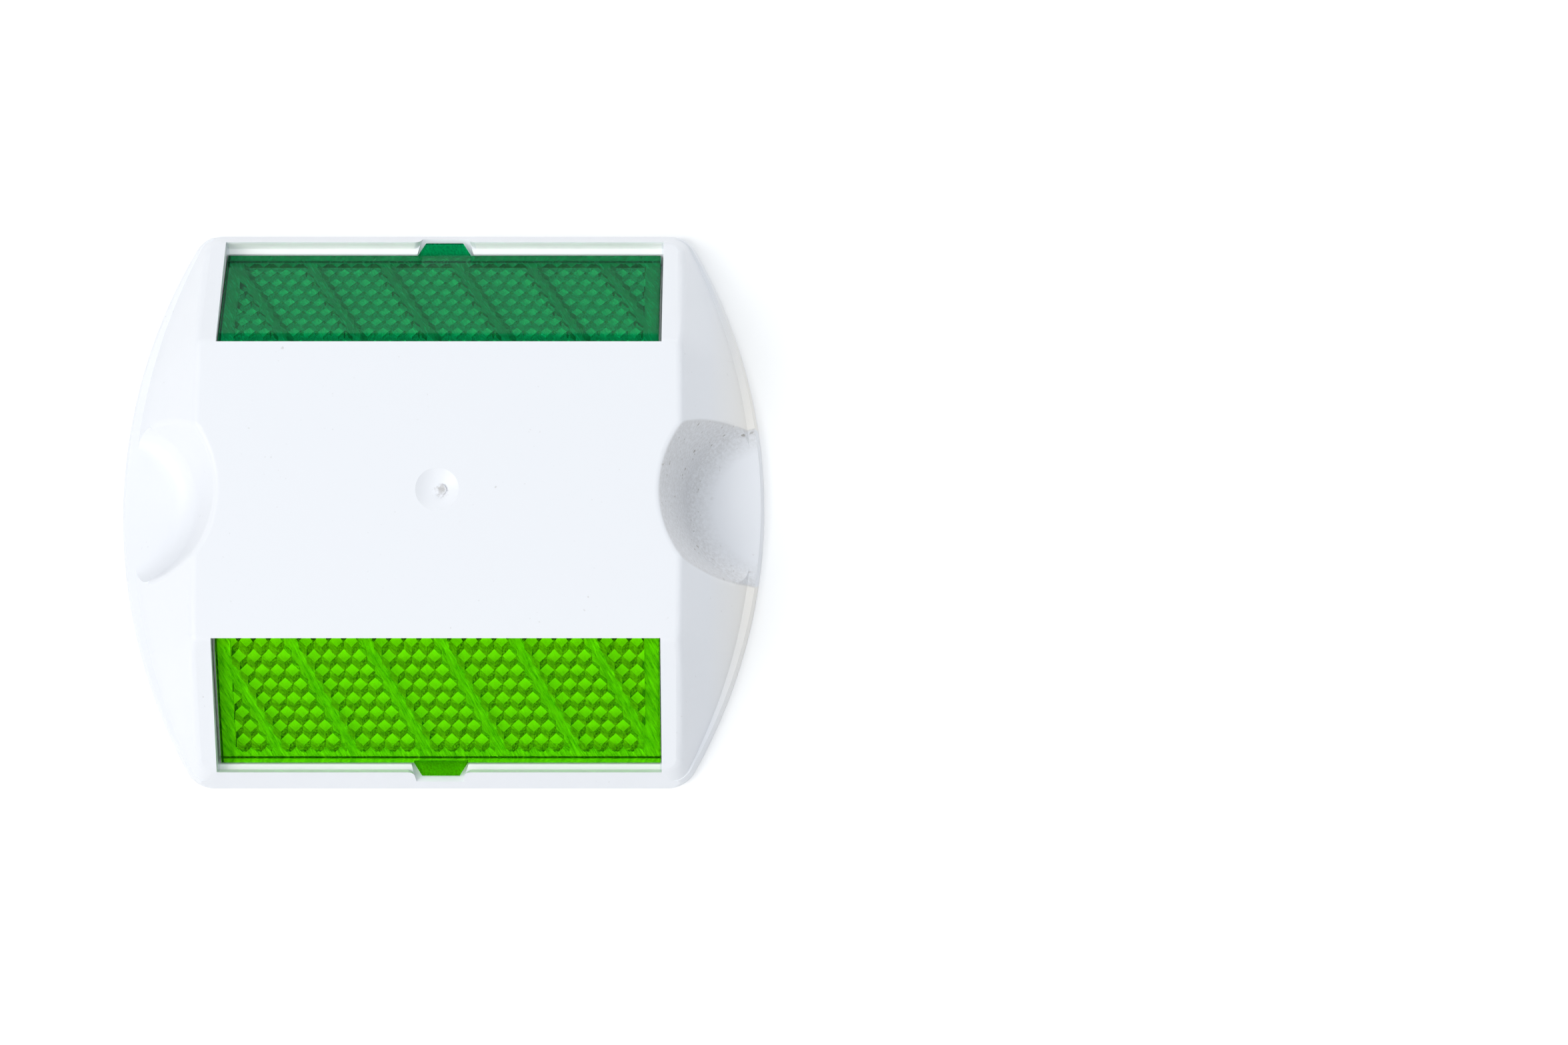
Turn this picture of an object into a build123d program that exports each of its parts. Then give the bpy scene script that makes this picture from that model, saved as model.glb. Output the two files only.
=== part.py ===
from build123d import *

import os
from math import atan2, cos, degrees, hypot, radians, sin, sqrt, tan

# Road stud: a white moulded body round a black ribbed core, with a reflector lens on each slope.
# Millimetres, +Z up. The origin is the middle of the underside. +X runs from finger scoop to
# finger scoop, and +Y from the front lens to the rear lens.

# Outside of the body
stud_length = 101.6
stud_width = 88.9
stud_height = 18.5
side_bow = 12.4
corner_radius = 5.0
roof_inset = 0.4
ridge_radius = 2.0
roof_edge_radius = 1.5
flank_fold_radius = 15.0
flank_corner_radius = 3.0

# Base rim, and the lips below the lenses
rim_height = 2.2
rim_bevel = 0.7
rim_draft = 5.0
rim_bevel_draft = 30.0
rim_ledge = 1.3
rim_corner_ledge = 0.3
lip_height = 5.0
lip_setback = 2.05

# Finger scoops
scoop_offset = 1.3
scoop_floor_radius = 12.85
scoop_draft = 15.6
scoop_blend = 4.0
scoop_edge_radius = 1.2

# Lenses in their windows
lens_tilt = 40.5
lens_thickness = 2.4
lens_setback = 3.67
lens_foot_z = 2.9
lens_strip = 2.55
lens_strip_dip = 0.9
lens_side_gap = 0.35
lens_end_gap = 0.18
lens_shift = 0.15
frame_bar = 3.2
window_drop = 0.51
sill_width = 1.03
sill_draft = 20.0

# Gate tab of a lens, and the notch that it lies in
tab_root = 8.5
tab_tip = 5.9
tab_length = 2.0
tab_thickness = 0.8
tab_gap = 0.1
notch_side_gap = 0.5
notch_shoulder = 1.2

# Air cells behind the prisms, and the slanting weld ribs between them
prism_pitch = 2.33
prism_row = 2.48
prisms_per_cell = 4
cell_side = 2.35
cell_foot = 1.8
cell_head = 0.85
cell_depth = 1.2
weld_rib = 1.2
weld_rib_offset = -0.75

# Gate mark on top, and ejector marks below
gate_radius = 3.4
gate_depth = 0.9
nub_radius = 0.8
nub_height = 0.45
nub_offset = 0.6
ejector_radius = 3.8
ejector_depth = 0.2
ejector_end = 8.9
ejector_side = 11.75

# Inner core
ring_width = 17.95
scoop_wall = 1.98
top_wall = 3.5
cell_wall = 2.0
core_bow = 10.6
core_corner = 4.0
core_fit = 0.1
core_setback = 0.15

# Ribs under the core
core_rim = 1.5
rib_turn = 33.0
rib_width = 1.0
pocket_depth = 2.0
long_rib_pitch = 4.065
cross_rib_pitch = 6.5
rib_node_x = 0.1
rib_node_y = -1.45
odd_rib_gap = 3.9
ribs_before_odd = 4

# Slots in the core
slot_length = 11.4
slot_width = 7.5
slot_corner = 3.0
slot_spacing = 39.4
slot_depth = 9.0

# Outline and roof
half_length = stud_length / 2
half_width = stud_width / 2
end_edge = stud_length - 2 * side_bow
plateau_length = end_edge - 2 * roof_inset
half_roof = plateau_length / 2

# Lens and window sizes along the stud and up the slope
tilt_run = cos(radians(lens_tilt))
tilt_rise = sin(radians(lens_tilt))
window_length = plateau_length - 2 * frame_bar
window_reach = (stud_height - window_drop - lens_foot_z) / tilt_rise
lens_length = window_length - 2 * lens_side_gap
lens_reach = window_reach - lens_end_gap
lens_foot_y = half_width - lens_setback
half_plateau = lens_foot_y - window_reach * tilt_run + window_drop * tilt_rise / tilt_run
cell_length = lens_length - 2 * cell_side
cell_reach = lens_reach - cell_foot - cell_head
notch_floor = lens_foot_z - tab_thickness - tab_gap
tab_overlap = lens_thickness / 3

# Weld ribs: one prism column wide, leaning half a prism for each row
weld_rib_pitch = prism_pitch * (prisms_per_cell + 1)
weld_rib_slant = degrees(atan2(prism_pitch / 2, prism_row))
weld_rib_count = int(cell_length / weld_rib_pitch) + 1

# Finger scoop at the height of the rim, of the core and above the roof
scoop_centre = half_length + scoop_offset
scoop_spread = tan(radians(scoop_draft))
core_top = stud_height - top_wall
scoop_core_radius = scoop_floor_radius + (core_top - rim_height) * scoop_spread
scoop_top_radius = scoop_floor_radius + stud_height * scoop_spread

# Core
core_length = 2 * (scoop_centre - scoop_core_radius - scoop_wall - core_fit)
core_width = stud_width - 2 * ring_width
core_end_edge = core_length - 2 * core_bow
core_below_lens = lens_thickness + cell_depth + cell_wall
rib_reach = hypot(core_length, core_width)
long_rib_count = 2 * int(rib_reach / 2 / long_rib_pitch) + 1
cross_rib_count = 2 * int(rib_reach / 2 / cross_rib_pitch) + 1
odd_rib_x = -ribs_before_odd * cross_rib_pitch - odd_rib_gap

# Foot of the flanks on the rim. Its bow is flatter than that of the base, which leaves a ledge.
rim_base = rim_height - rim_bevel
rim_inset = rim_base * tan(radians(rim_draft)) + rim_bevel * tan(radians(rim_bevel_draft))
foot_end = end_edge / 2 - rim_inset - rim_corner_ledge
foot_middle = half_length - rim_inset - rim_ledge
foot_bow = foot_middle - foot_end
foot_radius = (half_width**2 + foot_bow**2) / (2 * foot_bow)
foot_centre = foot_middle - foot_radius

# Lip face, leaning back from the edge of the base, and the foot of the flanks beside the window
lip_top_y = half_width - lip_setback
lip_foot_y = half_width - lip_setback * rim_height / lip_height
sill_y = lens_foot_y + sill_width
sill_space_top = lens_foot_z + lip_height
sill_space_y = sill_y + lip_height * tan(radians(sill_draft))
late_y = (half_plateau + lip_foot_y) / 2
foot_fold = foot_centre + sqrt(foot_radius**2 - half_plateau**2)
foot_late = foot_centre + sqrt(foot_radius**2 - late_y**2)
foot_front = foot_centre + sqrt(foot_radius**2 - lip_foot_y**2)

# Sloping window frame, from the ridge down to the top of the lip
frame_tan = (stud_height - lip_height) / (lip_top_y - half_plateau)
frame_reach = hypot(stud_height - lip_height, lip_top_y - half_plateau)

# Distance within which an edge counts as lying on a line
near = 0.1

# Planes of the two lens faces, with y up the slope and z outwards, and of the front frame
lens_plane = Plane(
    origin=(0, -lens_foot_y, lens_foot_z), x_dir=(1, 0, 0), z_dir=(0, -tilt_rise, tilt_run)
)
rear_lens_plane = Plane(
    origin=(0, lens_foot_y, lens_foot_z), x_dir=(-1, 0, 0), z_dir=(0, tilt_rise, tilt_run)
)
frame_plane = Plane(
    origin=(0, -half_plateau, stud_height), x_dir=(1, 0, 0), z_dir=(0, -frame_tan, 1)
)


def barrel(length, width, straight, corner):
    """Outline with straight front and rear edges joined by bowed sides."""
    with BuildSketch() as outline:
        with BuildLine():
            Line((-straight / 2, -width / 2), (straight / 2, -width / 2))
            ThreePointArc((straight / 2, -width / 2), (length / 2, 0), (straight / 2, width / 2))
            Line((straight / 2, width / 2), (-straight / 2, width / 2))
            ThreePointArc((-straight / 2, width / 2), (-length / 2, 0), (-straight / 2, -width / 2))
        make_face()
        fillet(outline.vertices(), corner)
    return outline.sketch


def core_block(fit):
    """The core without its pockets, grown at the sides by the fit."""
    with BuildPart() as block:
        with BuildSketch():
            add(barrel(core_length + 2 * fit, core_width + 2 * fit, core_end_edge + fit, core_corner))
        extrude(amount=core_top)
        split(bisect_by=lens_plane.offset(-core_below_lens), keep=Keep.BOTTOM)
        split(bisect_by=rear_lens_plane.offset(-core_below_lens), keep=Keep.BOTTOM)
    return block.part


# Middle of the body: flanks ruled from the straight plateau edges down to the bowed foot
with BuildPart() as middle:
    with BuildSketch(Plane.XY.offset(rim_height)):
        with BuildLine():
            Line((-foot_fold, -half_plateau), (foot_fold, -half_plateau))
            ThreePointArc((foot_fold, -half_plateau), (foot_middle, 0), (foot_fold, half_plateau))
            Line((foot_fold, half_plateau), (-foot_fold, half_plateau))
            ThreePointArc((-foot_fold, half_plateau), (-foot_middle, 0), (-foot_fold, -half_plateau))
        make_face()
    with BuildSketch(Plane.XY.offset(stud_height)):
        Rectangle(plateau_length, 2 * half_plateau)
    loft(ruled=True)

# Front end of the body: the same flanks carried on below the sloping window frame, round the corners
# and into the lip
with BuildPart() as front_end:
    with BuildSketch(Plane.XY.offset(rim_height)) as end_foot:
        with BuildLine():
            Line((-foot_front, -lip_foot_y), (foot_front, -lip_foot_y))
            ThreePointArc((foot_front, -lip_foot_y), (foot_late, -late_y), (foot_fold, -half_plateau))
            Line((foot_fold, -half_plateau), (-foot_fold, -half_plateau))
            ThreePointArc((-foot_fold, -half_plateau), (-foot_late, -late_y), (-foot_front, -lip_foot_y))
        make_face()
        fillet(end_foot.vertices().group_by(Axis.Y)[0], flank_corner_radius)
    with BuildSketch(frame_plane) as end_frame:
        with Locations((0, -frame_reach / 2)):
            Rectangle(plateau_length, frame_reach)
        fillet(end_frame.vertices().group_by(Axis.Y)[0], flank_corner_radius)
    loft(ruled=True)

# Crown of the body: everything above the rim. Its flank folds, its ridges, and then the edges of its
# roof, lips included, are rounded.
with BuildPart() as crown:
    add(middle.part)
    with PolarLocations(0, 2):
        add(front_end.part)
    folds = crown.edges().filter_by(Axis.X, reverse=True)
    fillet([e for e in folds if abs(abs(e.center().Y) - half_plateau) < near], flank_fold_radius)
    ridges = crown.edges().filter_by(Axis.X).filter_by_position(Axis.Z, stud_height - near, stud_height)
    fillet(ridges, ridge_radius)
    sides = crown.edges().filter_by(GeomType.LINE)
    fillet([e for e in sides if abs(abs(e.center().X) - half_roof) < near], roof_edge_radius)

# Lean of the two lip faces, drawn out along X to trim the rim below them
with BuildPart() as lip_wedge:
    with BuildSketch(Plane.YZ):
        Polygon(
            (-half_width, 0),
            (half_width, 0),
            (lip_top_y, lip_height),
            (-lip_top_y, lip_height),
            align=None,
        )
    extrude(amount=half_length, both=True)

# Space of one finger scoop, widening upwards
with BuildPart() as scoop_space:
    with BuildSketch(Plane.XZ):
        Polygon(
            (0, rim_height),
            (scoop_floor_radius, rim_height),
            (scoop_top_radius, rim_height + stud_height),
            (0, rim_height + stud_height),
            align=None,
        )
    revolve(axis=Axis.Z)

# The crown with its two scoops
with BuildPart() as scooped_crown:
    add(crown.part)
    with Locations((scoop_centre, 0), (-scoop_centre, 0)):
        add(scoop_space.part, mode=Mode.SUBTRACT)
    cut_edges = scooped_crown.edges(Select.LAST)
    scoop_edges = cut_edges.filter_by_position(Axis.Z, rim_height, stud_height, (False, True))
    fillet(scoop_edges, scoop_edge_radius)

# Ring that rounds the foot of a scoop wall: its arc is tangent to the floor and to the wall
blend_reach = scoop_blend / tan(radians(90 + scoop_draft) / 2)
blend_start = (scoop_floor_radius - blend_reach, rim_height)
blend_end = (
    scoop_floor_radius + blend_reach * sin(radians(scoop_draft)),
    rim_height + blend_reach * cos(radians(scoop_draft)),
)
with BuildPart() as scoop_ring:
    with BuildSketch(Plane.XZ):
        with BuildLine():
            TangentArc(blend_start, blend_end, tangent=(1, 0))
            Line(blend_end, (blend_end[0] + scoop_blend, blend_end[1]))
            Line((blend_end[0] + scoop_blend, blend_end[1]), (blend_end[0] + scoop_blend, rim_height))
            Line((blend_end[0] + scoop_blend, rim_height), blend_start)
        make_face()
    revolve(axis=Axis.Z)

# Rounded foot of one scoop wall, ended where the flank ends
with BuildPart() as scoop_foot:
    add(crown.part)
    with Locations((scoop_centre, 0)):
        add(scoop_ring.part, mode=Mode.INTERSECT)

# Space of the front window: lens seat, level sill between the lens and the lip, notch for the gate tab,
# and air cells
with BuildPart() as window_space:
    with BuildSketch(lens_plane.offset(-lens_thickness)):
        with Locations((0, (window_reach - lens_end_gap) / 2)):
            Rectangle(window_length, window_reach + lens_end_gap)
    extrude(amount=stud_height)
    with BuildSketch(Plane.YZ):
        Polygon(
            (-lens_foot_y, lens_foot_z),
            (-sill_y, lens_foot_z),
            (-sill_space_y, sill_space_top),
            (-lens_foot_y, sill_space_top),
            align=None,
        )
    extrude(amount=window_length / 2, both=True)
    with BuildSketch(Plane.XY.offset(notch_floor)):
        Polygon(
            (-tab_root / 2 - notch_side_gap, -lens_foot_y + tab_overlap),
            (-tab_tip / 2 - notch_side_gap, -half_width),
            (tab_tip / 2 + notch_side_gap, -half_width),
            (tab_root / 2 + notch_side_gap, -lens_foot_y + tab_overlap),
            align=None,
        )
    extrude(amount=lip_height)
    notch_edges = window_space.edges().filter_by_position(Axis.X, -tab_root, tab_root)
    shoulders = notch_edges.filter_by(Plane.XY, reverse=True).filter_by(Axis.Z, reverse=True)
    fillet(shoulders.filter_by_position(Axis.Z, lens_foot_z, sill_space_top), notch_shoulder)
    with BuildSketch(lens_plane.offset(-lens_thickness)):
        with Locations((0, cell_foot + cell_reach / 2)):
            Rectangle(cell_length, cell_reach)
            with Locations((weld_rib_offset, 0)):
                with GridLocations(weld_rib_pitch, 1, weld_rib_count, 1):
                    Rectangle(weld_rib, 2 * cell_reach, rotation=weld_rib_slant, mode=Mode.SUBTRACT)
    extrude(amount=-cell_depth)

# White outer body: rim, crown and scoop feet, less the windows, the core and the moulding marks
gate_ball = (gate_radius**2 + gate_depth**2) / (2 * gate_depth)
with BuildPart() as outer_body:
    with BuildSketch():
        add(barrel(stud_length, stud_width, end_edge, corner_radius))
    extrude(amount=rim_base, taper=rim_draft)
    extrude(outer_body.faces().sort_by(Axis.Z)[-1], amount=rim_bevel, taper=rim_bevel_draft)
    add(lip_wedge.part, mode=Mode.INTERSECT)
    add(scooped_crown.part)
    with PolarLocations(0, 2):
        add(scoop_foot.part)
    with PolarLocations(0, 2):
        add(window_space.part, mode=Mode.SUBTRACT)
    add(core_block(core_fit), mode=Mode.SUBTRACT)
    with Locations((0, 0, stud_height - gate_depth + gate_ball)):
        Sphere(gate_ball, mode=Mode.SUBTRACT)
    with Locations((nub_offset, 0, stud_height - 2 * gate_depth)):
        Cylinder(nub_radius, gate_depth + nub_height, align=(Align.CENTER, Align.CENTER, Align.MIN))
    with GridLocations(end_edge - 2 * ejector_end, stud_width - 2 * ejector_side, 2, 2):
        Cylinder(ejector_radius, 2 * ejector_depth, mode=Mode.SUBTRACT)

# Black inner core: ribbed underside, set back a little from the base, and two deep slots
with BuildPart() as inner_core:
    add(core_block(0))
    split(bisect_by=Plane.XY.offset(core_setback), keep=Keep.TOP)
    with BuildSketch(Plane.XY.offset(core_setback)):
        add(barrel(core_length, core_width, core_end_edge, core_corner))
        offset(amount=-core_rim, mode=Mode.REPLACE)
        with Locations(Location((rib_node_x, rib_node_y), rib_turn)):
            with GridLocations(1, long_rib_pitch, 1, long_rib_count):
                Rectangle(rib_reach, rib_width, mode=Mode.SUBTRACT)
            with GridLocations(cross_rib_pitch, 1, cross_rib_count, 1):
                Rectangle(rib_width, rib_reach, mode=Mode.SUBTRACT)
            with Locations((odd_rib_x, 0)):
                Rectangle(rib_width, rib_reach, mode=Mode.SUBTRACT)
    extrude(amount=pocket_depth, mode=Mode.SUBTRACT)
    with BuildSketch(Plane.XY.offset(core_setback)):
        with GridLocations(slot_spacing, 1, 2, 1):
            RectangleRounded(slot_length, slot_width, slot_corner)
    extrude(amount=slot_depth, mode=Mode.SUBTRACT)

# Front reflector lens with its gate tab
with BuildPart() as front_lens:
    with BuildSketch(lens_plane):
        with Locations((lens_shift, lens_reach / 2)):
            Rectangle(lens_length, lens_reach)
    extrude(amount=-lens_thickness)
    upper_edge = front_lens.edges().filter_by(Axis.X).sort_by(Axis.Z)[-1]
    front_face = front_lens.faces().filter_by(lens_plane).sort_by(Axis.Z)[-1]
    chamfer(upper_edge, lens_strip, lens_strip_dip, reference=front_face)
    with BuildSketch(Plane.XY.offset(lens_foot_z)):
        Polygon(
            (lens_shift - tab_root / 2, -lens_foot_y + tab_overlap),
            (lens_shift - tab_tip / 2, -lens_foot_y - tab_length),
            (lens_shift + tab_tip / 2, -lens_foot_y - tab_length),
            (lens_shift + tab_root / 2, -lens_foot_y + tab_overlap),
            align=None,
        )
    extrude(amount=-tab_thickness)

# Rear reflector lens: the same part turned half a turn
with BuildPart() as rear_lens:
    add(front_lens.part.rotate(Axis.Z, 180))

os.makedirs("parts", exist_ok=True)

outer_body.part.label = "outer_body"
export_step(outer_body.part, "parts/outer_body.step")

inner_core.part.label = "inner_core"
export_step(inner_core.part, "parts/inner_core.step")

front_lens.part.label = "front_lens"
export_step(front_lens.part, "parts/front_lens.step")

rear_lens.part.label = "rear_lens"
export_step(rear_lens.part, "parts/rear_lens.step")
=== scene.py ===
"""Raised road stud: finishes for its moulded body and core, two prism lenses, and a pale stage."""

import math

import bmesh
import bpy
from bpy.props import FloatProperty, FloatVectorProperty, IntProperty, PointerProperty
from mathutils import Color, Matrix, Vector


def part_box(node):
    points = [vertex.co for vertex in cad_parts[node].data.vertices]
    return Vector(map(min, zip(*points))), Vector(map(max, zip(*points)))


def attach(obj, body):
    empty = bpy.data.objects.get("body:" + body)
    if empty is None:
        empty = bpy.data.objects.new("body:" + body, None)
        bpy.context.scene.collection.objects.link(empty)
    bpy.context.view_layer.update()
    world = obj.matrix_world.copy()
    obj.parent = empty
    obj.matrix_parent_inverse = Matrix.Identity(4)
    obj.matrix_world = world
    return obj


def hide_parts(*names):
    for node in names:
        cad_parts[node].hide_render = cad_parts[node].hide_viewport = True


bl_info = {
    "name": "Road Stud",
    "version": (1, 0, 0),
    "blender": (4, 5, 0),
    "location": "View3D > Sidebar > Road Stud",
    "description": "Dresses the packed road stud with its plastics, its prism lenses and a stage",
    "category": "Object",
}

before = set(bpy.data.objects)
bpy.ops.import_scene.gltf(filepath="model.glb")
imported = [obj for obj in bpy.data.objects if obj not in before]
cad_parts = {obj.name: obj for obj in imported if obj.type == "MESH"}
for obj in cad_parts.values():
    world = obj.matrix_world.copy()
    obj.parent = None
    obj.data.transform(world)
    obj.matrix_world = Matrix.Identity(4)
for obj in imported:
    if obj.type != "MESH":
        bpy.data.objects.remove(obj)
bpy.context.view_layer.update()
lens_low, lens_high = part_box("front_lens")

# Lenses are modelled in millimetres, lying flat, and are then shrunk to metres and put in place
MM = 0.001
# Closeness, in millimetres, within which points count as one or as lying on a plane
NEAR = 0.0005
# Depth within which a finish counts a point as on a face
SKIN = 0.02 * MM
# Turn between two faces above which their edge is rounded
LEAST_TURN = math.radians(10)
# Share of a face's normal along an axis below which the face counts as running along that axis
ALONG = 0.0005
# Shares above which it counts as facing that way, and as square to the axis
FACING = 0.5
SQUARE = 0.99
# Rows and cells of prisms added so that they reach past their field on every side
SPARE_ROWS = 2
SPARE_CELLS = 4
# Tool marks on a lens: their length over their width, and a gain that makes up for the gaps between them
MARK_STRETCH = 8.0
MARK_GAIN = 1.4

# Faces of a lens: how far the tool's marks frost them, and how light that frost is; the dark frost on the
# risers and strip is painted shade
FRONT_GRADES = {
    "clear": (0.0, 0.5),
    "band": (0.42, 0.44),
    "window": (0.06, 0.3),
    "riser_left": (0.4, 0.08),
    "riser_right": (0.6, 0.08),
    "riser_strip": (0.8, 0.1),
    "field_wall": (0.2, 0.2),
    "rim": (0.9, 0.1),
    "tab_underside": (0.9, 0.5),
}
# Rear lens: painted shade in its grades, and painted glints in the bright frost of its windows
REAR_SHADED_GRADES = {
    "clear": (0.0, 0.5),
    "band": (0.5, 0.42),
    "window": (0.3, 0.9),
    "riser_left": (0.3, 0.2),
    "riser_right": (0.4, 0.2),
    "riser_strip": (0.4, 0.2),
    "field_wall": (0.8, 0.5),
    "rim": (0.9, 0.1),
    "tab_underside": (0.9, 0.5),
}


class RoadStudLens(bpy.types.PropertyGroup):
    """Sizes of a lens and of the prisms on its back"""

    length: FloatProperty(
        name="Length", description="Along the stud", unit="LENGTH", default=lens_high.x - lens_low.x
    )
    shift: FloatProperty(
        name="Shift", description="Sideways in its window", unit="LENGTH",
        default=(lens_high.x + lens_low.x) / 2,
    )
    tilt: FloatProperty(
        name="Tilt", description="Slope of the face", subtype="ANGLE", default=math.radians(40.5)
    )
    foot_y: FloatProperty(
        name="Foot Distance", description="Middle of the stud to the lower edge", unit="LENGTH",
        default=40.78 * MM,
    )
    foot_z: FloatProperty(
        name="Foot Height", description="Road to the lower edge", unit="LENGTH", default=2.9 * MM
    )
    reach: FloatProperty(
        name="Reach", description="Up the slope", unit="LENGTH", default=23.057 * MM
    )
    thickness: FloatProperty(
        name="Thickness", description="Face to weld plane", unit="LENGTH", default=2.4 * MM
    )
    seat_gap: FloatProperty(
        name="Seat Gap", description="Air left between weld plane and seat", unit="LENGTH", default=0.02 * MM
    )
    sill: FloatProperty(
        name="Sill", description="Level sill between the lower edge and the lip", unit="LENGTH",
        default=1.03 * MM,
    )
    sill_draft: FloatProperty(
        name="Sill Draft", description="Lean of the lip's inner wall", subtype="ANGLE",
        default=math.radians(20.0),
    )
    strip: FloatProperty(
        name="Strip", description="Width of the leaning strip along the top", unit="LENGTH", default=2.55 * MM
    )
    strip_dip: FloatProperty(
        name="Strip Dip", description="Fall of the strip at its upper edge", unit="LENGTH", default=0.9 * MM
    )
    edge_round: FloatProperty(
        name="Edge Round", description="Rounding of the outer edges", unit="LENGTH", default=0.12 * MM
    )
    rim_bevel: FloatProperty(
        name="Rim Bevel", description="Bevel round the back", unit="LENGTH", default=0.2 * MM
    )
    tab_root: FloatProperty(
        name="Tab Root", description="Width of the gate tab at the lens", unit="LENGTH", default=8.5 * MM
    )
    tab_tip: FloatProperty(
        name="Tab Tip", description="Width of the gate tab at its end", unit="LENGTH", default=5.9 * MM
    )
    tab_length: FloatProperty(
        name="Tab Length", description="Level reach of the gate tab", unit="LENGTH", default=2.0 * MM
    )
    tab_thickness: FloatProperty(
        name="Tab Thickness", description="Height of the gate tab", unit="LENGTH", default=0.8 * MM
    )
    prism_pitch: FloatProperty(
        name="Prism Pitch", description="Prism to prism in a row", unit="LENGTH", default=2.33 * MM
    )
    prism_row: FloatProperty(
        name="Row Pitch", description="Row to row up the slope", unit="LENGTH", default=2.555 * MM
    )
    prisms_per_cell: IntProperty(
        name="Prisms per Cell", description="Prisms in a row between two flat bands", default=4, min=1
    )
    tip_depth: FloatProperty(
        name="Tip Depth", description="Face to the tips of the prisms", unit="LENGTH", default=2.35 * MM
    )
    first_tip_x: FloatProperty(
        name="First Tip Across", description="First prism of the top row of the middle cell", unit="LENGTH",
        default=-9.82 * MM,
    )
    first_tip_reach: FloatProperty(
        name="First Tip Reach", description="Lower edge to the tips of the top row", unit="LENGTH",
        default=25.14 * MM,
    )
    field_side: FloatProperty(
        name="Field Side", description="Plain border at each side", unit="LENGTH", default=2.35 * MM
    )
    field_foot: FloatProperty(
        name="Field Foot", description="Plain border at the foot", unit="LENGTH", default=1.8 * MM
    )
    field_head: FloatProperty(
        name="Field Head", description="Plain border at the top", unit="LENGTH", default=0.85 * MM
    )


class RoadStudFinish(bpy.types.PropertyGroup):
    """Colours of the plastics, where they are worn and dusty, and where light and shade are painted on them
    """

    body_colour: FloatVectorProperty(
        name="Body", description="White plastic", subtype="COLOR", size=3, default=(0.85, 0.862, 0.895)
    )
    # Whiter plastic painted in as light on the cells behind the lenses and on the shaded sills
    body_painted_light: FloatVectorProperty(
        name="Clean Body", description="White plastic that is sealed in or sheltered", subtype="COLOR",
        size=3, default=(0.98, 0.985, 0.98),
    )
    scoop_centre: FloatProperty(
        name="Scoop Centre", description="Middle of the stud to the axis of a finger scoop", unit="LENGTH",
        default=52.1 * MM,
    )
    scoop_radius: FloatProperty(
        name="Scoop Radius", description="Axis of a finger scoop to the foot of its wall", unit="LENGTH",
        default=12.85 * MM,
    )
    scoop_foot: FloatProperty(
        name="Scoop Foot", description="Road to the foot of a scoop's wall", unit="LENGTH", default=2.2 * MM
    )
    scoop_draft: FloatProperty(
        name="Scoop Draft", description="Lean of a scoop's wall", subtype="ANGLE", default=math.radians(15.6)
    )
    # Where the grime and painted shade of the right scoop's wall start, from its axis
    scoop_grime_and_shade_start: FloatProperty(
        name="Scoop Clean", description="Axis of a finger scoop to where its grime starts", unit="LENGTH",
        default=9.0 * MM,
    )
    nub_offset: FloatProperty(
        name="Nub Offset", description="Middle of the stud to the nub of the gate mark", unit="LENGTH",
        default=0.6 * MM,
    )
    nub_fade: FloatProperty(
        name="Nub Fade", description="Distance over which the grey of the nub fades", unit="LENGTH",
        default=2.0 * MM,
    )
    # Colour of the fine dust, also used for the painted shade in the right scoop
    body_dust_and_shade: FloatVectorProperty(
        name="Body Dust", description="Fine dust on the white plastic", subtype="COLOR", size=3,
        default=(0.42, 0.40, 0.38),
    )
    rim_dust: FloatVectorProperty(
        name="Rim Dust", description="Beige dust on the right flank", subtype="COLOR", size=3,
        default=(0.92, 0.875, 0.80),
    )
    rim_dust_start: FloatProperty(
        name="Rim Dust Start", description="Middle of the stud to the first beige dust", unit="LENGTH",
        default=42.0 * MM,
    )
    rim_dust_end: FloatProperty(
        name="Rim Dust End", description="Middle of the stud to the thickest beige dust", unit="LENGTH",
        default=48.5 * MM,
    )
    core_colour: FloatVectorProperty(
        name="Core", description="Black plastic", subtype="COLOR", size=3, default=(0.006, 0.013, 0.034)
    )
    core_dust: FloatVectorProperty(
        name="Core Dust", description="Pale dust on the black plastic", subtype="COLOR", size=3,
        default=(0.30, 0.36, 0.45),
    )
    front_lens_colour: FloatVectorProperty(
        name="Front Lens", description="Tinted plastic of the front lens", subtype="COLOR", size=3,
        default=(0.52, 1.0, 0.04),
    )
    front_lens_gloss: FloatVectorProperty(
        name="Front Gloss", description="Tint of the front lens's gloss", subtype="COLOR", size=3,
        default=(0.15, 0.8, 0.0),
    )
    front_lens_frost: FloatVectorProperty(
        name="Front Frost", description="Frosted faces of the front lens", subtype="COLOR", size=3,
        default=(0.3, 1.0, 0.0),
    )
    # The rear lens's colours are painted shade: a darker, bluer copy of the front lens's green
    rear_lens_shaded_colour: FloatVectorProperty(
        name="Rear Lens", description="Tinted plastic of the rear lens", subtype="COLOR", size=3,
        default=(0.012, 0.70, 0.40),
    )
    rear_lens_shaded_gloss: FloatVectorProperty(
        name="Rear Gloss", description="Tint of the rear lens's gloss", subtype="COLOR", size=3,
        default=(0.03, 0.8, 0.6),
    )
    rear_lens_shaded_frost: FloatVectorProperty(
        name="Rear Frost", description="Frosted faces of the rear lens", subtype="COLOR", size=3,
        default=(0.02, 1.0, 0.5),
    )
    lens_density: FloatProperty(
        name="Lens Density", description="Strength of the lens colours for each metre of path", default=150.0,
        min=0.0,
    )


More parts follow.
